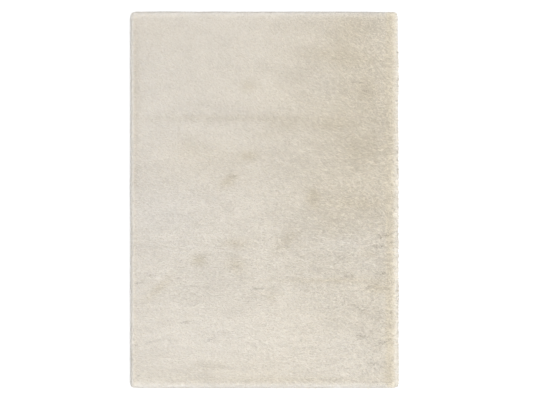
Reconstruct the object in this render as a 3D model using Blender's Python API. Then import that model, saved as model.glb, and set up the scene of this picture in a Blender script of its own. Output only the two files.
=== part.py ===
"""A shag rug lying face up, as one closed solid: the outer form of its pile over a flat underside.

Metres, +Z up. The origin is in the middle of the underside, and the long side runs along Y.
The grid that makes the top is laid out flat first, with rings hung below its rim. One pass then
moves every vertex to its place: it rounds the corners, rolls the pile over the edges and tucks it
in below, lets the edges swell and sinks the hollows in the nap.

blender --background --python part.py
"""

from collections import namedtuple
from math import ceil, cos, exp, pi, radians, sin, sqrt

import bmesh
import bpy

# Driving dimensions
CLOTH_WIDTH = 1.200  # the ground cloth that the pile stands on, along X
CLOTH_LENGTH = 1.700  # and along Y
CLOTH_THICKNESS = 0.003
PILE_HEIGHT = 0.033  # above the ground cloth, where the pile stands fullest
PILE_OVERHANG = 0.014  # how far the pile leans out past the cloth's edge

# How the pile turns over at the edge
EDGE_ROLL = 0.036  # from the outline in to where the pile reaches its full height
WAIST_HEIGHT = 0.012  # height at which the pile reaches furthest out
UNDERCUT = 0.010  # from the outline in to where the pile meets the floor

# Layout of the mesh
ROLL_STEPS = 5  # grid lines round the upper turn
TUCK_STEPS = 3  # rings round the lower turn
LEVEL_STEP = 0.046  # widest grid step on the level top

RUG_WIDTH = CLOTH_WIDTH + 2 * PILE_OVERHANG
RUG_LENGTH = CLOTH_LENGTH + 2 * PILE_OVERHANG
RUG_HEIGHT = CLOTH_THICKNESS + PILE_HEIGHT

# How square each corner is: 2 would be round, and more is squarer
CORNERS = {
    ("left", "far"): 3.2,
    ("right", "far"): 6.0,
    ("left", "near"): 5.0,
    ("right", "near"): 3.8,
}

# Where an edge stands out of its straight line, or behind it where out is negative.
# place is along the edge from its middle, reach is how far the swell fades out along it.
Swell = namedtuple("Swell", "side place reach out")
SWELLS = (
    Swell("right", 0.840, 0.140, -0.0035),
    Swell("right", 0.540, 0.035, 0.0016),
    Swell("right", 0.420, 0.090, -0.0014),
    Swell("right", -0.120, 0.030, -0.0012),
    Swell("right", -0.200, 0.030, 0.0012),
    Swell("right", -0.345, 0.035, -0.0010),
    Swell("right", -0.415, 0.032, 0.0028),
    Swell("right", -0.790, 0.070, 0.0020),
    Swell("left", 0.060, 0.060, 0.0012),
    Swell("left", -0.410, 0.030, 0.0010),
    Swell("far", 0.560, 0.120, -0.0022),
    Swell("far", -0.430, 0.060, 0.0012),
    Swell("far", -0.220, 0.050, 0.0010),
    Swell("near", -0.580, 0.060, -0.0008),
    Swell("near", 0.220, 0.060, 0.0009),
    Swell("near", 0.370, 0.050, -0.0010),
)
SWELL_FADE = 0.15  # how far in from the edge a swell is felt

# Soft troughs and dents where the nap lies down. long and broad are half sizes, turn is in
# degrees from +X.
Hollow = namedtuple("Hollow", "x y long broad turn depth")
HOLLOWS = (
    Hollow(-0.120, 0.366, 0.480, 0.034, 0, 0.0022),
    Hollow(0.330, 0.350, 0.130, 0.050, 6, 0.0020),
    Hollow(0.440, 0.630, 0.150, 0.060, -8, 0.0022),
    Hollow(0.455, 0.490, 0.060, 0.090, 0, 0.0020),
    Hollow(0.440, 0.235, 0.100, 0.080, 12, 0.0024),
    Hollow(0.225, 0.005, 0.050, 0.080, 0, 0.0018),
    Hollow(0.400, -0.030, 0.140, 0.060, -14, 0.0020),
    Hollow(0.110, -0.180, 0.110, 0.045, 48, 0.0016),
    Hollow(-0.140, -0.235, 0.100, 0.070, 10, 0.0016),
    Hollow(-0.300, -0.270, 0.060, 0.050, 0, 0.0014),
    Hollow(-0.490, -0.405, 0.110, 0.040, 42, 0.0014),
    Hollow(0.520, -0.395, 0.080, 0.045, 0, 0.0016),
    Hollow(0.400, -0.800, 0.230, 0.035, 2, 0.0022),
    Hollow(-0.230, -0.765, 0.110, 0.035, 4, 0.0012),
)

PILE_COLOUR = (0.70, 0.64, 0.55, 1.0)
PILE_ROUGHNESS = 0.95


def clear_scene():
    for thing in list(bpy.data.objects):
        bpy.data.objects.remove(thing)


def pile_material():
    material = bpy.data.materials.new("pile")
    material.use_nodes = True
    shader = material.node_tree.nodes["Principled BSDF"]
    shader.inputs["Base Color"].default_value = PILE_COLOUR
    shader.inputs["Roughness"].default_value = PILE_ROUGHNESS
    shader.inputs["Metallic"].default_value = 0.0
    return material


def grid_lines(size):
    """Places of the grid lines across a size: close together at each rolled edge, even between."""
    half = size / 2
    turns = [pi / 2 * step / ROLL_STEPS for step in range(ROLL_STEPS + 1)]
    rolled = [half - EDGE_ROLL * (1 - cos(turn)) for turn in turns]
    level = rolled[-1]
    count = ceil(2 * level / LEVEL_STEP)
    inner = [level - 2 * level * step / count for step in range(1, count)]
    return [-place for place in rolled] + inner[::-1] + rolled[::-1]


def rounded(x, y, half_x, half_y):
    """Moves a place in a plain rectangle to one with its corners rounded.

    Also gives how far out on the edge roll it is, from 0 on the level top to 1 at the outline."""
    out_x = max(0.0, (abs(x) - half_x) / EDGE_ROLL + 1)
    out_y = max(0.0, (abs(y) - half_y) / EDGE_ROLL + 1)
    reach = max(out_x, out_y)
    if min(out_x, out_y) == 0.0:
        return x, y, reach
    power = CORNERS["right" if x > 0 else "left", "far" if y > 0 else "near"]
    pull = reach / (out_x**power + out_y**power) ** (1 / power)
    x += (pull - 1) * out_x * EDGE_ROLL * (1 if x > 0 else -1)
    y += (pull - 1) * out_y * EDGE_ROLL * (1 if y > 0 else -1)
    return x, y, reach


def swelled(x, y):
    """Moves a place with the swells of the edges that are near it."""
    moved = {"right": 0.0, "left": 0.0, "far": 0.0, "near": 0.0}
    depth_in = {
        "right": RUG_WIDTH / 2 - x,
        "left": RUG_WIDTH / 2 + x,
        "far": RUG_LENGTH / 2 - y,
        "near": RUG_LENGTH / 2 + y,
    }
    for swell in SWELLS:
        along = y if swell.side in ("right", "left") else x
        felt = max(0.0, 1 - depth_in[swell.side] / SWELL_FADE)
        moved[swell.side] += swell.out * felt * exp(-(((along - swell.place) / swell.reach) ** 2))
    return x + moved["right"] - moved["left"], y + moved["far"] - moved["near"]


def hollow_depth(x, y):
    """How far the nap's hollows sink the top at a place."""
    depth = 0.0
    for hollow in HOLLOWS:
        turn = radians(hollow.turn)
        away_x = x - hollow.x
        away_y = y - hollow.y
        along = (away_x * cos(turn) + away_y * sin(turn)) / hollow.long
        across = (away_y * cos(turn) - away_x * sin(turn)) / hollow.broad
        depth += hollow.depth * exp(-(along**2) - across**2)
    return depth


def top_place(x, y):
    """Where a grid point of the top goes."""
    x, y, reach = rounded(x, y, RUG_WIDTH / 2, RUG_LENGTH / 2)
    rise = sqrt(max(0.0, 1 - reach**2))
    height = WAIST_HEIGHT + (RUG_HEIGHT - WAIST_HEIGHT - hollow_depth(x, y)) * rise
    return (*swelled(x, y), height)


def tucked_place(x, y, ring):
    """Where a point of the rim goes on a ring below it: in under the edge and down to the floor."""
    turn = pi / 2 * ring / TUCK_STEPS
    inset = UNDERCUT * (1 - cos(turn))
    height = WAIST_HEIGHT * (1 - sin(turn))
    half_x = RUG_WIDTH / 2 - inset
    half_y = RUG_LENGTH / 2 - inset
    x *= half_x / (RUG_WIDTH / 2)
    y *= half_y / (RUG_LENGTH / 2)
    x, y, _ = rounded(x, y, half_x, half_y)
    return (*swelled(x, y), height)


def hang_ring(cage):
    """Hangs one more ring of faces from the cage's open rim, a metre lower to mark its number."""
    rim = [edge for edge in cage.edges if edge.is_boundary]
    hung = bmesh.ops.extrude_edge_only(cage, edges=rim)["geom"]
    lower = [item for item in hung if isinstance(item, bmesh.types.BMVert)]
    bmesh.ops.translate(cage, verts=lower, vec=(0, 0, -1))


def rug_mesh():
    across = grid_lines(RUG_WIDTH)
    along = grid_lines(RUG_LENGTH)
    cage = bmesh.new()
    bmesh.ops.create_grid(cage, x_segments=len(across) - 1, y_segments=len(along) - 1, size=1)
    for vert in cage.verts:
        vert.co.x = across[round((vert.co.x + 1) / 2 * (len(across) - 1))]
        vert.co.y = along[round((vert.co.y + 1) / 2 * (len(along) - 1))]
    for _ in range(TUCK_STEPS):
        hang_ring(cage)
    bmesh.ops.contextual_create(cage, geom=[edge for edge in cage.edges if edge.is_boundary])
    for vert in cage.verts:
        ring = round(-vert.co.z)
        if ring == 0:
            vert.co = top_place(vert.co.x, vert.co.y)
        else:
            vert.co = tucked_place(vert.co.x, vert.co.y, ring)
    bmesh.ops.recalc_face_normals(cage, faces=cage.faces)
    mesh = bpy.data.meshes.new("rug")
    cage.to_mesh(mesh)
    cage.free()
    mesh.shade_smooth()
    mesh.materials.append(pile_material())
    return mesh


def main():
    clear_scene()
    collection = bpy.data.collections.new("shag_rug")
    bpy.context.scene.collection.children.link(collection)
    collection.objects.link(bpy.data.objects.new("rug", rug_mesh()))


main()
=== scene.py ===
"""A cream shag rug seen from straight above: its ground cloth, the dense lower pile, and the
strands that lie over it. Metres, +Z up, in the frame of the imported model.

A strand of the top is worked out from its tip down. The tip ends just under the skin of the CAD
solid, and the nap says how far and which way the strand lies over, and so where its root is. A
strand of the edge is worked out from inside the edge, outwards to the skin. All strands of a piece
are one joined mesh of closed yarns.
"""

from collections import namedtuple

import bmesh
import bpy
import numpy as np
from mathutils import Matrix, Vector
from mathutils.bvhtree import BVHTree


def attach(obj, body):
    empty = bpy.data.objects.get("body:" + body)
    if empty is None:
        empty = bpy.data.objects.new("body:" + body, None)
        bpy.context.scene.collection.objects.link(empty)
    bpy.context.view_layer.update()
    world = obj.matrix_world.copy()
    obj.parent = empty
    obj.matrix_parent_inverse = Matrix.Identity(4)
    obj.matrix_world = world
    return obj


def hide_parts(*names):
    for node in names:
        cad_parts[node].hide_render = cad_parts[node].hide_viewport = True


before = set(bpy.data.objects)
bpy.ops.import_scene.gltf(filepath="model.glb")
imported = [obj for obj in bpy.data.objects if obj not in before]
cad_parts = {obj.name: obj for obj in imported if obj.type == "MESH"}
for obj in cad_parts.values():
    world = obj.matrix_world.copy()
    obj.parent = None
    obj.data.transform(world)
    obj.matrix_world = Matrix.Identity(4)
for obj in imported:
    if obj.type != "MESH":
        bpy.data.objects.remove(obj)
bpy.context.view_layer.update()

# The rug, as in the CAD source
CLOTH_WIDTH = 1.200
CLOTH_LENGTH = 1.700
CLOTH_THICKNESS = 0.003
PILE_OVERHANG = 0.014
WAIST_HEIGHT = 0.012  # height at which the pile reaches furthest out
RUG_WIDTH = CLOTH_WIDTH + 2 * PILE_OVERHANG
RUG_LENGTH = CLOTH_LENGTH + 2 * PILE_OVERHANG

# The ground cloth's weave
WEFT_PITCH = 0.006
WEFT_RELIEF = 0.0006
WEFT_STEPS = 4  # mesh rows to a weft
CLOTH_COLUMNS = 3  # of its mesh

# The lower pile, packed so densely that it is one tufted body
BED_STEP = 0.0102  # of its mesh
BED_INSET = 0.008  # from the plain outline in to the bed's own
BED_DEPTH = 0.0085  # from the skin down to the bed
BED_CORNER = 0.018
BED_RIM_HEIGHT = 0.8 * WAIST_HEIGHT  # height down to which its side goes straight
TUFT_SIZE = 0.028
TUFT_RELIEF = 0.0004

# Every strand: a point at its root, a flattened ring of three corners where it bends over, and a
# point at its tip
RING_CORNERS = 3
RING_START = -30  # how far up from the strand's right side the first corner is, in degrees
FLATNESS = 0.55  # a strand's thickness as a share of its width
ROLL_SPREAD = 0.45  # how far strands are rolled about their length, in radians
RADIUS_RANGE = (0.75, 1.25)  # how broad a strand is, as a share of the usual
TIP_DROP = 0.0016  # how far a tip ends under the skin at least, where the nap is even
TIP_DROP_SPREAD = 0.0008  # and how much further on average
TONE_STEPS, WARM_STEPS = 20, 5  # the yarn comes in so many shades, each in so many warmths
WARM_DITHER = 0.999  # how much a warmth's step is raised at most before it is rounded down
ATLAS_MARGIN = 0.06  # free part on each side of a shade's place in the baked picture

# The points of a strand are its root, its ring's right, upper and left corners, and its tip.
# Each has its place along the strand and round it, both from 0 to 1.
POINT_PLACES = ((0.0, 0.5), (0.5, 0.0), (0.5, 0.5), (0.5, 1.0), (1.0, 0.5))
ROOT, RIGHT, UPPER, LEFT, TIP = range(5)
STRAND_FACES = (
    (RIGHT, LEFT, TIP),
    (LEFT, RIGHT, ROOT),
    (RIGHT, UPPER, ROOT),
    (UPPER, LEFT, ROOT),
    (UPPER, RIGHT, TIP),
    (LEFT, UPPER, TIP),
)

# The strands of the top
TOP_SPACING = 0.00395  # between tips
TOP_MARGIN = 0.003  # how far past the plain outline tips are looked for
TOP_STRAY = 0.48  # how far a tip strays from its place in their grid at most, as a share of a step
TOP_RADIUS = 0.0021  # half of a strand's usual width
TOP_PIECES = 5  # joined meshes that share the strands of the top
ROOT_INSET = 0.003  # roots stay this far inside the cloth's edge
LEAST_LEAN, MOST_LEAN = 0.012, 0.028  # how far a tip lies from its root
LEAN_SPREAD = 0.0045  # how far its lean strays from the nap's, where unevenness_at gives 1
TONE_SPREAD = 0.155  # and how far its tone does
BEND_SHARE = 0.33  # how far along its lean a strand bends over
BEND_RISE = 0.83  # and how far up to the skin it is by then
EDGE_RISE = 0.13  # how much further up at the edge
VISIBLE_MIDDLE = 0.33  # how far back along its lean the middle of what shows of it is
EDGE_SPLAY = 0.016  # how far the tips lean outwards along the edge
EDGE_SPLAY_RANGE = (0.5, 1.5)  # how much of that a strand takes
EDGE_COMBING = 0.8  # how much of the nap's own lean is lost there
EDGE_SPLAY_FADE = 0.022  # how quickly all of this fades inwards

# The strands of the edge
EDGE_SPACING = 0.0030
EDGE_RADIUS = 0.0020  # half of a strand's usual width
EDGE_INSET = 0.016  # from the plain outline in to where they spread from
EDGE_CORNER = 0.012
EDGE_HEIGHT = 0.0125
EDGE_SET_BACK = 0.016  # how much further in they spread from at most where they go straight up
EDGE_ROOT_SET_BACK = (0.002, 0.010)  # how far in from there their roots are
EDGE_BEND_REACH = 0.84  # how far out to the skin they bend
EDGE_STRAY = 0.05  # how far past the skin the tips stray on average, as a share of their reach
EDGE_SLANT = 8  # how far they are off their tier's two angles at most, in degrees
BEND_TURN, BEND_TURN_UP = 0.10, 0.15  # how far they turn aside in radians, and how much more if up
TIP_TURN, TIP_TURN_UP = 0.20, 0.10  # and how much further their tips turn, likewise
LEAST_TIP_HEIGHT = 0.001
EDGE_LIGHTER, EDGE_TONE_SPREAD = 0.03, 0.13  # than the nap, and how far each strays from that

# They bend over at one height round the edge and hang down to another, both in degrees above
# level. The lower they are the less light reaches them, so they are no lighter than a tone.
EdgeTier = namedtuple("EdgeTier", "bend tip lightest")
EDGE_TIERS = (
    EdgeTier(-24, -76, 0.25),
    EdgeTier(-6, -62, 0.32),
    EdgeTier(8, -50, 0.42),
    EdgeTier(20, -38, 0.58),
    EdgeTier(31, -26, 0.75),
    EdgeTier(42, -14, 0.90),
    EdgeTier(53, -2, 1.00),
    EdgeTier(64, 11, 1.00),
    EdgeTier(76, 25, 1.00),
    EdgeTier(90, 40, 1.00),
)

# How far they stop short of the outline or pass it on each side, as a share of their reach, and
# how much lighter than each tier's lightest they may look there, as a share of it, which paints
# less of the tiers' shade on those sides
EdgeSide = namedtuple("EdgeSide", "way least most lighter")
EDGE_SIDES = (
    EdgeSide((1, 0), -0.32, 0.60, 0.60),
    EdgeSide((0, 1), -0.16, 0.02, 0.60),
    EdgeSide((-1, 0), -0.16, 0.02, 0.00),
    EdgeSide((0, -1), -0.12, 0.16, 0.45),
)

# Where the nap has been brushed. long and broad are half sizes and turn is in degrees from +X.
# tone is how much lighter it looks there: painted light and shade of the nap's lay. The last six
# follow the edges, with painted light along them and painted shade just inside the left one.
Stroke = namedtuple("Stroke", "x y long broad turn tone")
STROKES = (
    Stroke(0.420, 0.400, 0.340, 0.480, 0, -0.22),
    Stroke(0.400, -0.080, 0.260, 0.220, 0, -0.09),
    Stroke(0.270, 0.520, 0.070, 0.080, 0, 0.09),
    Stroke(0.430, 0.790, 0.080, 0.060, 0, -0.10),
    Stroke(0.330, 0.655, 0.170, 0.035, -6, -0.11),
    Stroke(0.425, 0.640, 0.070, 0.022, 0, -0.13),
    Stroke(0.466, 0.502, 0.032, 0.042, 0, -0.27),
    Stroke(0.448, 0.229, 0.070, 0.055, 0, -0.18),
    Stroke(-0.170, 0.371, 0.460, 0.014, 0, -0.10),
    Stroke(0.100, 0.340, 0.090, 0.030, 0, -0.10),
    Stroke(0.010, 0.290, 0.060, 0.020, 0, -0.09),
    Stroke(0.310, 0.343, 0.070, 0.028, 4, -0.14),
    Stroke(-0.071, 0.518, 0.035, 0.030, 0, -0.17),
    Stroke(-0.340, 0.240, 0.070, 0.045, 0, -0.09),
    Stroke(-0.069, 0.200, 0.040, 0.022, 0, -0.24),
    Stroke(-0.161, 0.085, 0.045, 0.022, 35, -0.29),
    Stroke(0.230, 0.005, 0.026, 0.038, 0, -0.30),
    Stroke(0.430, -0.015, 0.120, 0.022, 0, -0.14),
    Stroke(0.310, -0.106, 0.050, 0.050, 0, -0.07),
    Stroke(0.103, -0.186, 0.070, 0.030, 45, -0.17),
    Stroke(-0.126, -0.200, 0.060, 0.022, 0, -0.23),
    Stroke(-0.125, -0.298, 0.045, 0.032, 0, -0.24),
    Stroke(-0.298, -0.278, 0.032, 0.024, 0, -0.30),
    Stroke(0.480, -0.244, 0.030, 0.020, 0, -0.12),
    Stroke(-0.480, -0.405, 0.080, 0.018, 42, -0.23),
    Stroke(0.330, -0.370, 0.240, 0.010, 0, -0.19),
    Stroke(0.528, -0.405, 0.055, 0.022, 0, -0.24),
    Stroke(0.034, -0.440, 0.028, 0.028, 0, -0.14),
    Stroke(-0.241, -0.760, 0.070, 0.018, 0, -0.07),
    Stroke(0.120, -0.825, 0.420, 0.013, 0, -0.12),
    Stroke(0.574, -0.772, 0.035, 0.050, 0, -0.13),
    Stroke(-0.585, 0.480, 0.022, 0.350, 0, -0.10),
    Stroke(-0.310, 0.620, 0.300, 0.240, 0, -0.03),
    Stroke(0.000, -0.650, 0.700, 0.260, 0, 0.09),
    Stroke(-0.300, -0.660, 0.350, 0.120, 0, 0.05),
    Stroke(0.380, -0.646, 0.120, 0.050, 0, 0.06),
    Stroke(0.470, -0.300, 0.060, 0.030, 0, 0.10),
    Stroke(0.370, -0.205, 0.070, 0.025, 0, 0.09),
    Stroke(-0.250, 0.180, 0.220, 0.100, 0, -0.11),
    Stroke(-0.460, -0.060, 0.150, 0.090, 0, 0.08),
    Stroke(0.420, -0.780, 0.240, 0.110, 0, 0.14),
    Stroke(0.365, 0.730, 0.070, 0.110, 0, -0.09),
    Stroke(-0.500, 0.780, 0.110, 0.080, 0, -0.07),
    Stroke(0.420, -0.200, 0.220, 0.090, 0, 0.09),
    Stroke(0.618, 0.000, 0.013, 2.000, 0, 0.58),
    Stroke(0.605, 0.000, 0.030, 2.000, 0, 0.20),
    Stroke(-0.614, 0.000, 0.011, 2.000, 0, 0.26),
    Stroke(-0.594, 0.000, 0.008, 2.000, 0, -0.14),
    Stroke(0.000, -0.862, 2.000, 0.015, 0, 0.30),
    Stroke(0.000, 0.864, 2.000, 0.016, 0, 0.26),
)
PRESSED_LEAN = 0.015  # how much further over the tips lie where a stroke's painted shade darkens the nap fully

# Short thin lines along which the pile has parted, each darkened by a painted shadow. Sizes and
# turn are as above, and deep is how strongly the parting is felt.
PARTING_BREADTH = 0.0028
Parting = namedtuple("Parting", "x y long turn deep broad", defaults=[PARTING_BREADTH])
PARTINGS = (
    Parting(0.534, -0.338, 0.032, 0, 1.0),
    Parting(0.576, -0.196, 0.028, 0, 1.0),
    Parting(0.548, -0.164, 0.024, 0, 1.0),
    Parting(0.525, -0.214, 0.026, 0, 1.0),
    Parting(0.543, -0.650, 0.030, 20, 1.0),
    Parting(0.434, -0.490, 0.036, -20, 1.0),
    Parting(0.502, -0.747, 0.026, 0, 1.0),
    Parting(0.443, -0.627, 0.026, 0, 1.0),
    Parting(0.493, -0.398, 0.026, 20, 1.0),
    Parting(0.397, -0.352, 0.026, 0, 1.0),
    Parting(0.429, 0.534, 0.022, 0, 1.0),
    Parting(0.172, -0.646, 0.030, 0, 0.55),
    Parting(-0.034, -0.407, 0.026, 0, 0.55),
    Parting(-0.135, 0.107, 0.022, 10, 0.55),
    Parting(-0.290, -0.265, 0.022, 0, 0.55),
    Parting(-0.350, -0.558, 0.034, 10, 0.55),
    Parting(-0.506, -0.650, 0.030, 15, 0.55),
    Parting(-0.515, -0.347, 0.022, 0, 0.55),
    Parting(-0.574, -0.380, 0.024, 5, 0.55),
    Parting(-0.248, -0.642, 0.026, 28, 0.55),
    Parting(-0.588, -0.664, 0.014, -20, 0.55),
    Parting(-0.576, -0.809, 0.018, 50, 0.55),
    Parting(-0.044, -0.667, 0.018, -30, 0.55),
)
PARTING_SHADOW_TONE = -1.0  # how much lighter the nap looks in a parting: a painted shadow, so it is darker
PARTING_DROP = -0.0010  # the yarn painted with the parting's shadow stands up, so that its neighbours don't hide it

# Unevenness of the nap in patches of about a size, longer along X where they are stretched: how
# far the tips sway, how much the tone varies and how far the pile is pressed down. Where it is
# pressed down its tone is lower, partly tone that differs at random and partly painted shade in
# the dips. It fades out beyond the line at y = until.
Mottle = namedtuple("Mottle", "size stretch sway tone drop until")
MOTTLES = (
    Mottle(0.120, 2, 0.0020, 0.05, 0.0000, 2.0),
    Mottle(0.045, 2, 0.0010, 0.045, 0.0000, 2.0),
    Mottle(0.006, 1.5, 0.0008, 0.06, 0.0007, 2.0),
    Mottle(0.007, 5, 0.0004, 0.07, 0.0007, 0.1),
    Mottle(0.011, 6, 0.0004, 0.05, 0.0004, 0.0),
    Mottle(0.022, 6, 0.0004, 0.06, 0.0002, 0.0),
)
DIP_SHARE, RISE_SHARE = 1.3, 0.7  # how deep their dips and how high their rises are made
FAR_CALM = 0.50  # how uneven the nap is far from the viewer, as a share of how it is near them
CURL_MORE = 2.3  # how much more uneven the nap is at the right edge, where it curls
CURL_REACH = 0.25  # how far in from that edge this fades

# How far the tips lie over from their roots along X and Y, near the viewer and far from them
NEAR_LEAN = (0.017, -0.004)
FAR_LEAN = (0.012, -0.011)
LEAN_LINE = 0.2  # y of the line along X between the two
LINE_FADE = 0.15  # over about how far the nap changes at such a line

# The yarn's colours, from the painted shadow in a parting to the painted light of the thin edge
# that light shines through
PARTING_SHADOW = (0.390, 0.355, 0.300)
DEEP = (0.561, 0.537, 0.504)
MIDDLE = (0.720, 0.696, 0.660)
LIGHT = (0.808, 0.784, 0.745)
PAINTED_EDGE_LIGHT = (0.920, 0.905, 0.875)
PLAIN, WARM = (1, 1, 1), (1.025, 0.985, 0.88)  # what the coolest and warmest are multiplied by
BASE_TONE = 0.55
LEAST_TONE, MOST_TONE = 0.12, 0.85  # the strands of a plain nap stay between these

# How warm the yarn looks, from 0 to 1, is the sum of these. Painted shade from the strokes is
# warmer, and painted warm light lies along the right edge.
WARM_BELOW = 0.685  # strokes add none where they leave its tone at this
WARM_RANGE = 0.50  # and all where they leave it this much lower
WARM_SLOPE = 0.35  # for each metre to the right
WARM_NEAR, WARM_LINE = 0.5, -0.2  # for each metre nearer than a line along X
WARM_EDGE_LIGHT = 2.3  # painted warm light along the right edge
WARM_DEPTH, WARM_REACH = 0.028, 0.018  # how far in that is most, and how quickly it fades
EDGE_WARMTH = 0.4  # of the strands that roll over the edge, at least

# What the yarn's colour is multiplied by along a strand from root to tip (painted shade, darker
# towards the root), across its fibres from groove to crest (their own tone, and painted shade in
# the grooves), and in the lower pile from between the tufts to their middle (painted shade)
STRAND_ROOT_SHADE = ((0.30, (0.90, 0.87, 0.83)), (0.85, PLAIN))
FIBRE_GRAIN_AND_SHADE = ((0.30, (0.92, 0.905, 0.88)), (0.60, PLAIN))
TUFT_SHADE = ((0.35, (0.72, 0.68, 0.62)), (0.65, (0.96, 0.94, 0.91)))
FIBRE_SCALE = (3.0, 20.0, 1.0)  # how finely the fibres vary along and round a strand
FIBRE_APART = 2.0  # how far apart in the noise two shades next to each other are
TUFT_SCALE = (3.0, 1.0, 1.0)  # tufts are narrower along X
WEAVE_AND_SHADE = ((0.2, (0.50, 0.45, 0.36)), (0.8, (0.66, 0.61, 0.52)))  # the weave's colour from between the threads up, with painted shade between them

# Smooth noise: layers of random values, each on a grid turned by so many radians
NOISE_TURNS = (0.0, 0.9, 2.0)
STRETCHED_TURN = 0.1  # how much of its turn a layer keeps where patches are stretched along X
NOISE_CELLS = 256  # a layer repeats after this many
NOISE_SHIFT = 99  # how many cells it is shifted by at most
NOISE_HEIGHT = 1.6  # of the layers' sum, which is scaled down to about 1

# What the random draws start from
TOP_SEED, EDGE_SEED, STRAND_SEED, BED_SEED = 20, 21, 27, 71
MOTTLE_SEED, MOTTLE_SEED_STEP = 20, 10

# The photo's frame, where the rug lies in it, and the camera
PHOTO_WIDTH = 533
PHOTO_HEIGHT = 400
LEFT_PX, RIGHT_PX = 129.65, 398.1  # the rug's sides
TOP_PX, BOTTOM_PX = 11.5, 388.1  # its ends
CAMERA_HEIGHT = 8.0
SENSOR_WIDTH = 36  # millimetres

# The studio
FLOOR_SIZE = 40
FLOOR_DROP = 0.0003  # how far below the rug it is drawn
FLOOR_COLOUR = (0.93, 0.93, 0.93, 1)
WORLD_COLOUR = (1, 1, 1, 1)
WORLD_STRENGTH = 1.34
KEY_PLACE = (4.5, -2.2, 6.0)
KEY_SPREAD = 45  # degrees, so that it is soft
KEY_STRENGTH = 1.35
KEY_COLOUR = (1.0, 0.98, 0.95)

DOWN = Vector((0, 0, -1))
CAST_HEIGHT = 1  # where rays down to the skin start
NEARLY_UP = (0.01, 0.02, 1.0)  # no strand points exactly this way
TINY = 1e-9  # keeps a division by a length of nothing from failing
MIX_FIRST, MIX_SECOND, MIX_RESULT = 6, 7, 2  # the colour sockets of a Mix node

Nap = namedtuple("Nap", "lean_x lean_y tone warmth drop")
Strands = namedtuple("Strands", "roots bends tips radius tone warmth")


# The nap


def soft_noise(x, y, size, seed, stretch=1.0):
    """Smooth noise, mostly from -1 to 1, in patches of a size, longer along X by a stretch."""
    rng = np.random.default_rng(seed)
    total = np.zeros(len(x))
    for turn in NOISE_TURNS:
        table = rng.uniform(-1, 1, (NOISE_CELLS, NOISE_CELLS))
        if stretch != 1:
            turn *= STRETCHED_TURN
        u = (x * np.cos(turn) - y * np.sin(turn)) / (size * stretch) + rng.uniform(0, NOISE_SHIFT)
        v = (x * np.sin(turn) + y * np.cos(turn)) / size + rng.uniform(0, NOISE_SHIFT)
        column, row = np.floor(u).astype(int), np.floor(v).astype(int)
        u, v = u - column, v - row
        u, v = u * u * (3 - 2 * u), v * v * (3 - 2 * v)
        left, right = column % NOISE_CELLS, (column + 1) % NOISE_CELLS
        below, above = row % NOISE_CELLS, (row + 1) % NOISE_CELLS
        low = table[below, left] * (1 - u) + table[below, right] * u
        high = table[above, left] * (1 - u) + table[above, right] * u
        total += low * (1 - v) + high * v
    return total / NOISE_HEIGHT


def dipped(noise):
    """Noise with deeper dips and lower rises."""
    return np.where(noise < 0, DIP_SHARE, RISE_SHARE) * noise


def nearer_than(line, y):
    """A share from 0 beyond a line along X to 1 on its near side."""
    return 1 / (1 + np.exp((y - line) / LINE_FADE))


def unevenness_at(x, y):
    """How many times as uneven as at the near left the nap is at places."""
    near = nearer_than(LEAN_LINE, y)
    return FAR_CALM + (1 - FAR_CALM) * near + CURL_MORE * np.exp((x - RUG_WIDTH / 2) / CURL_REACH)


def stroke_weight(stroke, x, y):
    """How strongly a stroke or a parting is felt at places."""
    turn = np.radians(stroke.turn)
    along = ((x - stroke.x) * np.cos(turn) + (y - stroke.y) * np.sin(turn)) / stroke.long
    across = ((y - stroke.y) * np.cos(turn) - (x - stroke.x) * np.sin(turn)) / stroke.broad
    return np.exp(-(along**2) - across**2)


def warmth_at(x, y, stroked_tone):
    """How warm the yarn looks at places, given the tone that the strokes leave there. It is warmer
    where the strokes paint shade, and painted warm light lies along the right edge.
    """
    warmth = WARM_EDGE_LIGHT * np.exp(-(((RUG_WIDTH / 2 - x - WARM_DEPTH) / WARM_REACH) ** 2))
    warmth += (WARM_BELOW - stroked_tone) / WARM_RANGE
    warmth += WARM_SLOPE * x + WARM_NEAR * np.maximum(0, WARM_LINE - y)
    return np.clip(warmth, 0, 1)


def nap_at(x, y):
    """How the nap lies at places: how far its tips lie over along X and Y, how light and how warm
    it looks, both from 0 to 1, and how far it is pressed down. How light it looks is painted light
    and shade of its lay, partings and dips, beside tone that differs at random."""
    near = nearer_than(LEAN_LINE, y)
    lean_x, lean_y = (near * NEAR_LEAN[axis] + (1 - near) * FAR_LEAN[axis] for axis in (0, 1))
    tone, drop = np.full(len(x), BASE_TONE), np.zeros(len(x))
    # painted light and shade of the nap's lay, and painted light along the edges
    for stroke in STROKES:
        lighter = stroke.tone * stroke_weight(stroke, x, y)
        tone += lighter
        lean_x -= PRESSED_LEAN * lighter
    warmth = warmth_at(x, y, tone)
    for number, mottle in enumerate(MOTTLES):
        seed = MOTTLE_SEED + MOTTLE_SEED_STEP * number
        felt = nearer_than(mottle.until, y) * np.sqrt(unevenness_at(x, y))
        unevenness = felt * dipped(soft_noise(x, y, mottle.size, seed, mottle.stretch))
        # lower where the pile is pressed down: tone that differs at random, and painted shade in
        # the dips
        tone += mottle.tone * unevenness
        drop -= mottle.drop * unevenness
        lean_x += mottle.sway * felt * soft_noise(x, y, mottle.size, seed + 1, mottle.stretch)
        lean_y += mottle.sway * felt * soft_noise(x, y, mottle.size, seed + 2, mottle.stretch)
    # a painted shadow along each parting
    for parting in PARTINGS:
        weight = parting.deep * stroke_weight(parting, x, y)
        tone += PARTING_SHADOW_TONE * weight
        drop += PARTING_DROP * weight
    return Nap(lean_x, lean_y, np.clip(tone, 0, 1), warmth, drop)


def varied(tone, change):
    """Tones changed strand by strand, within the plain nap's range unless past it already."""
    lowest, highest = np.minimum(tone, LEAST_TONE), np.maximum(tone, MOST_TONE)
    return np.clip(tone + change, lowest, highest)


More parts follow.
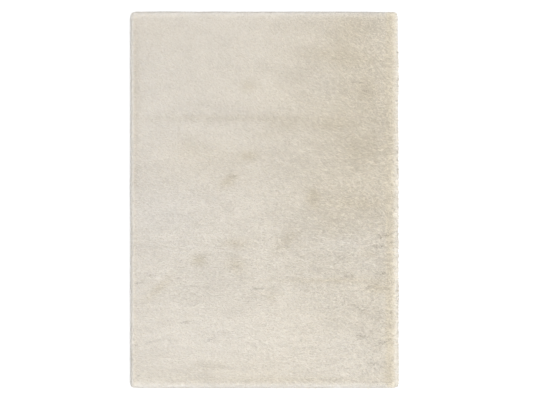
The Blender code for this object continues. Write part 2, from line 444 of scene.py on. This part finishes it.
# Places and ways


def unit(vectors):
    """Vectors scaled to a length of 1."""
    return vectors / np.maximum(np.linalg.norm(vectors, axis=1, keepdims=True), TINY)


def skin_heights(skin, x, y):
    """Heights of the CAD solid's top at places, and not-a-number past its outline."""
    heights = np.full(len(x), np.nan)
    for index, (place_x, place_y) in enumerate(zip(x, y)):
        hit = skin.ray_cast(Vector((place_x, place_y, CAST_HEIGHT)), DOWN)[0]
        if hit is not None:
            heights[index] = hit.z
    return heights


def cast_lengths(skin, starts, rays):
    """How far it is from starts inside the skin to it along rays."""
    casts = [skin.ray_cast(Vector(start), Vector(ray)) for start, ray in zip(starts, rays)]
    return np.array([distance for _, _, _, distance in casts])


def jittered_grid(rng, width, length, spacing):
    """Places over a rectangle, one in each cell of a grid, column after column."""
    columns, rows = round(width / spacing), round(length / spacing)
    x, y = np.meshgrid(np.arange(columns) + 0.5, np.arange(rows) + 0.5, indexing="ij")
    x = (x.ravel() + rng.uniform(-TOP_STRAY, TOP_STRAY, x.size)) * width / columns - width / 2
    y = (y.ravel() + rng.uniform(-TOP_STRAY, TOP_STRAY, y.size)) * length / rows - length / 2
    return x, y


def walk(half_x, half_y, corner, step, grow):
    """Places round a rectangle with rounded corners, and the way out at each. On the outline that
    lies further out by grow they are a step apart, so that the corners get as many."""
    places, outward = [], []
    inner_x, inner_y = half_x - corner, half_y - corner
    middles = ((inner_x, -inner_y), (inner_x, inner_y), (-inner_x, inner_y), (-inner_x, -inner_y))
    for quarter, middle in enumerate(middles):
        run = 2 * (inner_y if quarter % 2 == 0 else inner_x)
        from_angle = quarter * np.pi / 2
        count = round((corner + grow) * np.pi / 2 / step)
        for index in range(count):
            angle = from_angle - np.pi / 2 + np.pi / 2 * (index + 0.5) / count
            way = np.array([np.cos(angle), np.sin(angle)])
            places.append(np.array(middle) + corner * way)
            outward.append(way)
        way = np.array([np.cos(from_angle), np.sin(from_angle)])
        along = np.array([-way[1], way[0]])
        count = round(run / step)
        for index in range(count):
            places.append(np.array(middle) + corner * way + along * run * (index + 0.5) / count)
            outward.append(way)
    return np.array(places), np.array(outward)


def within_corners(x, y, half_x, half_y, corner):
    """Pulls places that lie past a rectangle's rounded corners in to them."""
    over_x = np.maximum(np.abs(x) - (half_x - corner), 0)
    over_y = np.maximum(np.abs(y) - (half_y - corner), 0)
    pull = np.minimum(1, corner / np.maximum(np.hypot(over_x, over_y), TINY)) - 1
    return x + np.sign(x) * over_x * pull, y + np.sign(y) * over_y * pull


# Pieces


def added_piece(name, mesh, material):
    """Puts a mesh into the scene as a piece of one material."""
    mesh.materials.append(material)
    piece = bpy.data.objects.new(name, mesh)
    bpy.context.scene.collection.objects.link(piece)
    return piece


def closed_mesh(name, cage):
    """The mesh of a finished cage, with its faces turned outwards."""
    bmesh.ops.recalc_face_normals(cage, faces=cage.faces)
    mesh = bpy.data.meshes.new(name)
    cage.to_mesh(mesh)
    cage.free()
    return mesh


def add_values(mesh, name, values):
    """Gives each point of a mesh its value of a new attribute."""
    mesh.attributes.new(name, "FLOAT", "POINT").data.foreach_set("value", values.astype(np.float32))


def strand_points(rng, strands):
    """The points of each strand, in the order of POINT_PLACES."""
    roll = rng.normal(0, ROLL_SPREAD, len(strands.radius))
    along = unit(strands.tips - strands.roots)
    side = unit(np.cross(along, NEARLY_UP))
    up = np.cross(side, along)
    points = [strands.roots]
    for corner in range(RING_CORNERS):
        angle = roll + np.radians(RING_START + 360 / RING_CORNERS * corner)
        offset = np.cos(angle)[:, None] * side + FLATNESS * np.sin(angle)[:, None] * up
        points.append(strands.bends + offset * strands.radius[:, None])
    points.append(strands.tips)
    return np.stack(points, axis=1)


def strand_mesh(name, points):
    """One joined mesh of strands, and which point is at each corner of its faces."""
    first = len(POINT_PLACES) * np.arange(len(points))[:, None]
    corners = (np.array(STRAND_FACES).ravel() + first).ravel()
    face_starts = np.arange(0, len(corners), 3)
    mesh = bpy.data.meshes.new(name)
    mesh.vertices.add(len(points) * len(POINT_PLACES))
    mesh.vertices.foreach_set("co", points.astype(np.float32).ravel())
    mesh.loops.add(len(corners))
    mesh.loops.foreach_set("vertex_index", corners.astype(np.int32))
    mesh.polygons.add(len(face_starts))
    mesh.polygons.foreach_set("loop_start", face_starts.astype(np.int32))
    return mesh, corners


def strand_piece(name, strands, material):
    """A piece of strands, each in one of the yarn's shades and warmths. Its own map for baking
    has a column for each warmth and a row for each shade."""
    rng = np.random.default_rng(STRAND_SEED)
    mesh, corners = strand_mesh(name, strand_points(rng, strands))
    count = len(strands.tone)
    tone_step = np.clip(np.floor(strands.tone * TONE_STEPS), 0, TONE_STEPS - 1)
    warm_step = np.floor(strands.warmth * (WARM_STEPS - 1) + rng.uniform(0, WARM_DITHER, count))
    tone_step, warm_step = (np.repeat(step, len(POINT_PLACES)) for step in (tone_step, warm_step))
    add_values(mesh, "pile_tone", (tone_step + 0.5) / TONE_STEPS)
    add_values(mesh, "pile_warmth", warm_step / (WARM_STEPS - 1))
    places = np.tile(np.array(POINT_PLACES), (count, 1))
    atlas = ATLAS_MARGIN + (1 - 2 * ATLAS_MARGIN) * places
    atlas[:, 0] = (warm_step + atlas[:, 0]) / WARM_STEPS
    atlas[:, 1] = (tone_step + atlas[:, 1]) / TONE_STEPS
    for map_name, point_map in (("strand", places), ("OFBake", atlas)):
        layer = mesh.uv_layers.new(name=map_name)
        layer.data.foreach_set("uv", point_map[corners].astype(np.float32).ravel())
    mesh.update(calc_edges=True)
    mesh.shade_smooth()
    return added_piece(name, mesh, material)


def edge_felt(depth):
    """How strongly an edge is felt at a depth in from the outline."""
    return np.exp(-np.maximum(0, depth) / EDGE_SPLAY_FADE)


def splayed(rng, lean, sign, depth):
    """Leans turned outwards near an edge that is a depth away, on the side with this sign."""
    splay = sign * EDGE_SPLAY * rng.uniform(*EDGE_SPLAY_RANGE, len(lean))
    return lean + edge_felt(depth) * (splay - EDGE_COMBING * lean)


def top_leans(rng, x, y, nap, uneven):
    """How far tips at places lie over from their roots along X and Y."""
    lean_x = nap.lean_x + rng.normal(0, LEAN_SPREAD, len(x)) * uneven
    lean_y = nap.lean_y + rng.normal(0, LEAN_SPREAD, len(y)) * uneven
    for sign in (-1, 1):
        lean_x = splayed(rng, lean_x, sign, RUG_WIDTH / 2 - sign * x)
        lean_y = splayed(rng, lean_y, sign, RUG_LENGTH / 2 - sign * y)
    lean = np.maximum(np.hypot(lean_x, lean_y), TINY)
    change = np.clip(lean, LEAST_LEAN, MOST_LEAN) / lean
    return lean_x * change, lean_y * change


def top_strands(skin, material):
    """The strands whose tips cover the top, shared out between a few pieces across the rug."""
    rng = np.random.default_rng(TOP_SEED)
    width, length = RUG_WIDTH + 2 * TOP_MARGIN, RUG_LENGTH + 2 * TOP_MARGIN
    x, y = jittered_grid(rng, width, length, TOP_SPACING)
    heights = skin_heights(skin, x, y)
    there = ~np.isnan(heights)
    x, y, heights = x[there], y[there], heights[there]
    count = len(x)
    nap = nap_at(x - VISIBLE_MIDDLE * NEAR_LEAN[0], y - VISIBLE_MIDDLE * NEAR_LEAN[1])
    uneven = unevenness_at(x, y)
    lean_x, lean_y = top_leans(rng, x, y, nap, uneven)
    limit_x, limit_y = CLOTH_WIDTH / 2 - ROOT_INSET, CLOTH_LENGTH / 2 - ROOT_INSET
    root_x = np.clip(x - lean_x, -limit_x, limit_x)
    root_y = np.clip(y - lean_y, -limit_y, limit_y)
    bend_x = root_x + BEND_SHARE * (x - root_x)
    bend_y = root_y + BEND_SHARE * (y - root_y)
    depth = np.minimum(RUG_WIDTH / 2 - np.abs(x), RUG_LENGTH / 2 - np.abs(y))
    rise = BEND_RISE + EDGE_RISE * edge_felt(depth)
    bend_z = CLOTH_THICKNESS + rise * (skin_heights(skin, bend_x, bend_y) - CLOTH_THICKNESS)
    drop = TIP_DROP + np.maximum(nap.drop, -TIP_DROP) + rng.exponential(TIP_DROP_SPREAD, count)
    strands = Strands(
        roots=np.column_stack([root_x, root_y, np.full(count, CLOTH_THICKNESS)]),
        bends=np.column_stack([bend_x, bend_y, bend_z - drop]),
        tips=np.column_stack([x, y, heights - drop]),
        radius=TOP_RADIUS * rng.uniform(*RADIUS_RANGE, count),
        tone=varied(nap.tone, rng.normal(0, TONE_SPREAD, count) * uneven),
        warmth=nap.warmth,
    )
    bounds = np.linspace(0, count, TOP_PIECES + 1).astype(int)
    pieces = []
    for number in range(TOP_PIECES):
        part = slice(bounds[number], bounds[number + 1])
        share = Strands(*(values[part] for values in strands))
        pieces.append(strand_piece(f"pile_top_{number + 1}", share, material))
    return pieces


def edge_rays(outward, slant, turn):
    """Rays outwards from the edge, at slants in degrees above level and turned aside."""
    slant = np.radians(slant)
    ray_x = (outward[:, 0] * np.cos(turn) - outward[:, 1] * np.sin(turn)) * np.cos(slant)
    ray_y = (outward[:, 0] * np.sin(turn) + outward[:, 1] * np.cos(turn)) * np.cos(slant)
    return np.column_stack([ray_x, ray_y, np.sin(slant)])


def edge_tier(rng, skin, tier, places, outward):
    """Roots, bends, tips and lightest tones of the edge's strands that bend over at one height."""
    count = len(places)
    upright, level = max(0, np.sin(np.radians(tier.bend))), np.cos(np.radians(tier.bend))
    aside = np.column_stack([outward[:, 1], -outward[:, 0], np.zeros(count)])
    inward = np.column_stack([-outward, np.zeros(count)])
    shift = rng.uniform(-0.5, 0.5, count) * EDGE_SPACING
    set_back = rng.uniform(0, EDGE_SET_BACK, count) * upright
    sunk = (TIP_DROP + rng.exponential(TIP_DROP_SPREAD, count)) * upright
    start = np.column_stack([places, np.full(count, EDGE_HEIGHT)])
    start = start + shift[:, None] * aside + set_back[:, None] * inward

    slant = rng.uniform(-EDGE_SLANT, EDGE_SLANT, count)
    turn = rng.normal(0, BEND_TURN + BEND_TURN_UP * upright, count)
    spread, lightest = np.ones(count), np.full(count, tier.lightest)
    for side in EDGE_SIDES:
        faced = np.maximum(outward @ side.way, 0) ** 2
        spread += level * faced * rng.uniform(side.least, side.most, count)
        lightest += tier.lightest * side.lighter * faced
    wider = np.column_stack([spread, spread, np.ones(count)])
    ray = edge_rays(outward, tier.bend + slant, turn)
    reach = EDGE_BEND_REACH * cast_lengths(skin, start, ray) - sunk
    bends = start + wider * ray * reach[:, None]

    tip_slant = tier.tip + slant + rng.uniform(-EDGE_SLANT, EDGE_SLANT, count)
    tip_turn = turn + rng.normal(0, TIP_TURN + TIP_TURN_UP * upright, count)
    ray = edge_rays(outward, tip_slant, tip_turn)
    reach = cast_lengths(skin, start, ray) * (1 + rng.exponential(EDGE_STRAY, count)) - sunk
    tips = start + wider * ray * reach[:, None]
    tips[:, 2] = np.maximum(tips[:, 2], LEAST_TIP_HEIGHT)

    roots = start + rng.uniform(*EDGE_ROOT_SET_BACK, count)[:, None] * inward
    roots[:, 2] = CLOTH_THICKNESS
    return roots, bends, tips, lightest


def edge_strands(skin, material):
    """The strands that roll over the edge all round and hide the cloth's cut."""
    rng = np.random.default_rng(EDGE_SEED)
    half_x, half_y = RUG_WIDTH / 2 - EDGE_INSET, RUG_LENGTH / 2 - EDGE_INSET
    places, outward = walk(half_x, half_y, EDGE_CORNER, EDGE_SPACING, EDGE_INSET)
    tiers = [edge_tier(rng, skin, tier, places, outward) for tier in EDGE_TIERS]
    roots, bends, tips, lightest = (np.concatenate(rows) for rows in zip(*tiers))
    count = len(tips)
    nap = nap_at(tips[:, 0], tips[:, 1])
    change = rng.normal(EDGE_LIGHTER, EDGE_TONE_SPREAD, count)
    tone = varied(np.minimum(nap.tone, lightest), change)
    radius = EDGE_RADIUS * rng.uniform(*RADIUS_RANGE, count)
    strands = Strands(roots, bends, tips, radius, tone, np.maximum(nap.warmth, EDGE_WARMTH))
    return strand_piece("pile_edge", strands, material)


def pile_bed(skin, material):
    """The dense lower pile, as a closed body with a tufted top, tucked in to the cloth's edge."""
    half_x, half_y = RUG_WIDTH / 2 - BED_INSET, RUG_LENGTH / 2 - BED_INSET
    columns, rows = round(2 * half_x / BED_STEP), round(2 * half_y / BED_STEP)
    cage = bmesh.new()
    bmesh.ops.create_grid(cage, x_segments=columns, y_segments=rows, size=1)
    co = np.array([vert.co for vert in cage.verts])
    x, y = within_corners(co[:, 0] * half_x, co[:, 1] * half_y, half_x, half_y, BED_CORNER)
    relief = TUFT_RELIEF * soft_noise(x, y, TUFT_SIZE, BED_SEED)
    z = np.maximum(skin_heights(skin, x, y) - BED_DEPTH, WAIST_HEIGHT) + relief
    for vert, *place in zip(cage.verts, x, y, z):
        vert.co = place
    tuck_x = (CLOTH_WIDTH / 2 - ROOT_INSET) / half_x
    tuck_y = (CLOTH_LENGTH / 2 - ROOT_INSET) / half_y
    for height, scale_x, scale_y in ((BED_RIM_HEIGHT, 1, 1), (CLOTH_THICKNESS, tuck_x, tuck_y)):
        rim = [edge for edge in cage.edges if edge.is_boundary]
        for item in bmesh.ops.extrude_edge_only(cage, edges=rim)["geom"]:
            if isinstance(item, bmesh.types.BMVert):
                item.co = (item.co.x * scale_x, item.co.y * scale_y, height)
    bmesh.ops.contextual_create(cage, geom=[edge for edge in cage.edges if edge.is_boundary])
    mesh = closed_mesh("pile_bed", cage)
    co = np.array([vert.co for vert in mesh.vertices])
    nap = nap_at(co[:, 0], co[:, 1])
    add_values(mesh, "pile_tone", nap.tone)
    add_values(mesh, "pile_warmth", nap.warmth)
    mesh.shade_smooth()
    return added_piece("pile_bed", mesh, material)


def ground_cloth(material):
    """The woven cloth that the pile stands on, with the ribs of its weft on the underside."""
    rows = round(CLOTH_LENGTH / WEFT_PITCH * WEFT_STEPS)
    cage = bmesh.new()
    bmesh.ops.create_grid(cage, x_segments=CLOTH_COLUMNS, y_segments=rows, size=0.5)
    for vert in cage.verts:
        vert.co = (vert.co.x * CLOTH_WIDTH, vert.co.y * CLOTH_LENGTH, CLOTH_THICKNESS)
    under = bmesh.ops.duplicate(cage, geom=cage.faces[:])["geom"]
    for item in under:
        if isinstance(item, bmesh.types.BMVert):
            item.co.z = WEFT_RELIEF / 2 * (1 - np.cos(2 * np.pi * item.co.y / WEFT_PITCH))
    bmesh.ops.bridge_loops(cage, edges=[edge for edge in cage.edges if edge.is_boundary])
    return added_piece("ground_cloth", closed_mesh("ground_cloth", cage), material)


# Materials


def set_inputs(node, **values):
    """Sets inputs of a node by their names, with _ for each space."""
    for name, value in values.items():
        node.inputs[name.replace("_", " ")].default_value = value


def new_material(name):
    """A new material, its node tree and its shader."""
    material = bpy.data.materials.new(name)
    material.use_nodes = True
    tree = material.node_tree
    return material, tree, tree.nodes["Principled BSDF"]


def attribute(tree, name):
    """The value of an attribute of the mesh."""
    node = tree.nodes.new("ShaderNodeAttribute")
    node.attribute_name = name
    return node.outputs["Fac"]


def colour_ramp(tree, source, stops):
    """A ramp over a source from 0 to 1, through stops of a place and a colour."""
    ramp = tree.nodes.new("ShaderNodeValToRGB")
    elements = ramp.color_ramp.elements
    while len(elements) < len(stops):
        elements.new(0.5)
    for element, (place, colour) in zip(elements, stops):
        element.position = place
        element.color = (*colour, 1)
    tree.links.new(source, ramp.inputs["Fac"])
    return ramp.outputs["Color"]


def multiplied(tree, first, second):
    """The product of two colours."""
    mix = tree.nodes.new("ShaderNodeMix")
    mix.data_type = "RGBA"
    mix.blend_type = "MULTIPLY"
    mix.inputs["Factor"].default_value = 1.0
    tree.links.new(first, mix.inputs[MIX_FIRST])
    tree.links.new(second, mix.inputs[MIX_SECOND])
    return mix.outputs[MIX_RESULT]


def stretched(tree, source, scale):
    """Coordinates times a scale along each axis."""
    node = tree.nodes.new("ShaderNodeVectorMath")
    node.operation = "MULTIPLY"
    node.inputs[1].default_value = scale
    tree.links.new(source, node.inputs[0])
    return node.outputs["Vector"]


def bumped(tree, shader, height, strength, distance):
    """Gives a shader a bump that follows a height."""
    bump = tree.nodes.new("ShaderNodeBump")
    set_inputs(bump, Strength=strength, Distance=distance)
    tree.links.new(height, bump.inputs["Height"])
    tree.links.new(bump.outputs["Normal"], shader.inputs["Normal"])


def cream(tree):
    """The colour of the yarn, which follows how light and how warm the nap looks there, painted
    light and shade included.
    """
    shades = ((0.0, PARTING_SHADOW), (LEAST_TONE, DEEP), (0.5, MIDDLE), (MOST_TONE, LIGHT), (1.0, PAINTED_EDGE_LIGHT))
    shade = colour_ramp(tree, attribute(tree, "pile_tone"), shades)
    warmth = colour_ramp(tree, attribute(tree, "pile_warmth"), ((0.0, PLAIN), (1.0, WARM)))
    return multiplied(tree, shade, warmth)


def strand_material():
    """Cream yarn with fine fibres along it, darker down the strand towards the root: painted shade.
    Each shade has fibres of its own, darker in their grooves, partly their own tone and partly
    painted shade."""
    material, tree, shader = new_material("cream_pile")
    place = tree.nodes.new("ShaderNodeUVMap")
    place.uv_map = "strand"
    split = tree.nodes.new("ShaderNodeSeparateXYZ")
    tree.links.new(place.outputs["UV"], split.inputs["Vector"])
    # painted shade, darker towards the root
    depth = colour_ramp(tree, split.outputs["X"], STRAND_ROOT_SHADE)
    apart = tree.nodes.new("ShaderNodeMath")
    apart.operation = "MULTIPLY"
    apart.inputs[1].default_value = FIBRE_APART * TONE_STEPS
    tree.links.new(attribute(tree, "pile_tone"), apart.inputs[0])
    fibres = tree.nodes.new("ShaderNodeTexNoise")
    fibres.noise_dimensions = "4D"
    set_inputs(fibres, Scale=1.0, Detail=2.0)
    tree.links.new(stretched(tree, place.outputs["UV"], FIBRE_SCALE), fibres.inputs["Vector"])
    tree.links.new(apart.outputs["Value"], fibres.inputs["W"])
    # the fibres' own tone, and painted shade in the grooves of their bump
    grain_and_shade = colour_ramp(tree, fibres.outputs["Fac"], FIBRE_GRAIN_AND_SHADE)
    shaded = multiplied(tree, cream(tree), depth)
    tree.links.new(multiplied(tree, shaded, grain_and_shade), shader.inputs["Base Color"])
    bumped(tree, shader, fibres.outputs["Fac"], strength=0.5, distance=0.0004)
    set_inputs(shader, Roughness=0.9, Sheen_Weight=0.15, Sheen_Roughness=0.5)
    return material


def bed_material():
    """The same yarn seen end on, as fine tufts, with painted shade between them."""
    material, tree, shader = new_material("pile_bed")
    coords = tree.nodes.new("ShaderNodeTexCoord")
    noise = tree.nodes.new("ShaderNodeTexNoise")
    set_inputs(noise, Scale=110.0, Detail=2.0)
    tree.links.new(stretched(tree, coords.outputs["Object"], TUFT_SCALE), noise.inputs["Vector"])
    # painted shade between the tufts, where the bump dips
    depth = colour_ramp(tree, noise.outputs["Fac"], TUFT_SHADE)
    tree.links.new(multiplied(tree, cream(tree), depth), shader.inputs["Base Color"])
    bumped(tree, shader, noise.outputs["Fac"], strength=1.0, distance=0.004)
    set_inputs(shader, Roughness=0.95, Sheen_Weight=0.15, Sheen_Roughness=0.5)
    return material


def cloth_material():
    """Natural woven cloth, with the thread of its weave across it, and painted shade between the
    threads.
    """
    material, tree, shader = new_material("ground_cloth")
    coords = tree.nodes.new("ShaderNodeTexCoord")
    wave = tree.nodes.new("ShaderNodeTexWave")
    set_inputs(wave, Scale=50.0, Distortion=1.0, Detail=2.0)
    tree.links.new(coords.outputs["Object"], wave.inputs["Vector"])
    # the weave's colour, with painted shade between the threads
    tree.links.new(colour_ramp(tree, wave.outputs["Fac"], WEAVE_AND_SHADE), shader.inputs["Base Color"])
    bumped(tree, shader, wave.outputs["Fac"], strength=0.5, distance=0.0005)
    set_inputs(shader, Roughness=0.9)
    return material


# The studio


def floor():
    """A plain pale floor."""
    bpy.ops.mesh.primitive_plane_add(size=FLOOR_SIZE, location=(0, 0, -FLOOR_DROP))
    piece = bpy.context.object
    piece.name = "floor"
    material, _, shader = new_material("floor")
    set_inputs(shader, Base_Color=FLOOR_COLOUR, Roughness=0.9)
    piece.data.materials.append(material)


def lights():
    """Even light from all round, and a broad soft key light from the right and the near side."""
    world = bpy.data.worlds.new("studio")
    world.use_nodes = True
    set_inputs(world.node_tree.nodes["Background"], Color=WORLD_COLOUR, Strength=WORLD_STRENGTH)
    bpy.context.scene.world = world
    data = bpy.data.lights.new("key", "SUN")
    data.energy = KEY_STRENGTH
    data.color = KEY_COLOUR
    data.angle = np.radians(KEY_SPREAD)
    key = bpy.data.objects.new("key", data)
    key.location = KEY_PLACE
    key.rotation_euler = (-Vector(KEY_PLACE)).to_track_quat("-Z", "Y").to_euler()
    bpy.context.scene.collection.objects.link(key)


def camera():
    """Straight above, with a long lens, so that the rug fills the same pixels as in the photo."""
    per_pixel = (RUG_WIDTH / (RIGHT_PX - LEFT_PX) + RUG_LENGTH / (BOTTOM_PX - TOP_PX)) / 2
    data = bpy.data.cameras.new("camera")
    data.sensor_width = SENSOR_WIDTH
    data.lens = SENSOR_WIDTH * (CAMERA_HEIGHT - WAIST_HEIGHT) / (PHOTO_WIDTH * per_pixel)
    seen = bpy.data.objects.new("camera", data)
    middle_x, middle_y = (LEFT_PX + RIGHT_PX) / 2, (TOP_PX + BOTTOM_PX) / 2
    seen.location = (
        (PHOTO_WIDTH / 2 - middle_x) * per_pixel,
        (middle_y - PHOTO_HEIGHT / 2) * per_pixel,
        CAMERA_HEIGHT,
    )
    bpy.context.scene.collection.objects.link(seen)
    bpy.context.scene.camera = seen


def main():
    bpy.context.scene.view_settings.view_transform = "Standard"
    skin = BVHTree.FromObject(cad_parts["rug"], bpy.context.evaluated_depsgraph_get())
    yarn = strand_material()
    cloth = ground_cloth(cloth_material())
    pile = [pile_bed(skin, bed_material()), *top_strands(skin, yarn), edge_strands(skin, yarn)]
    for piece in (cloth, *pile):
        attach(piece, "root")
        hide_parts("rug")
    floor()
    lights()
    camera()


main()
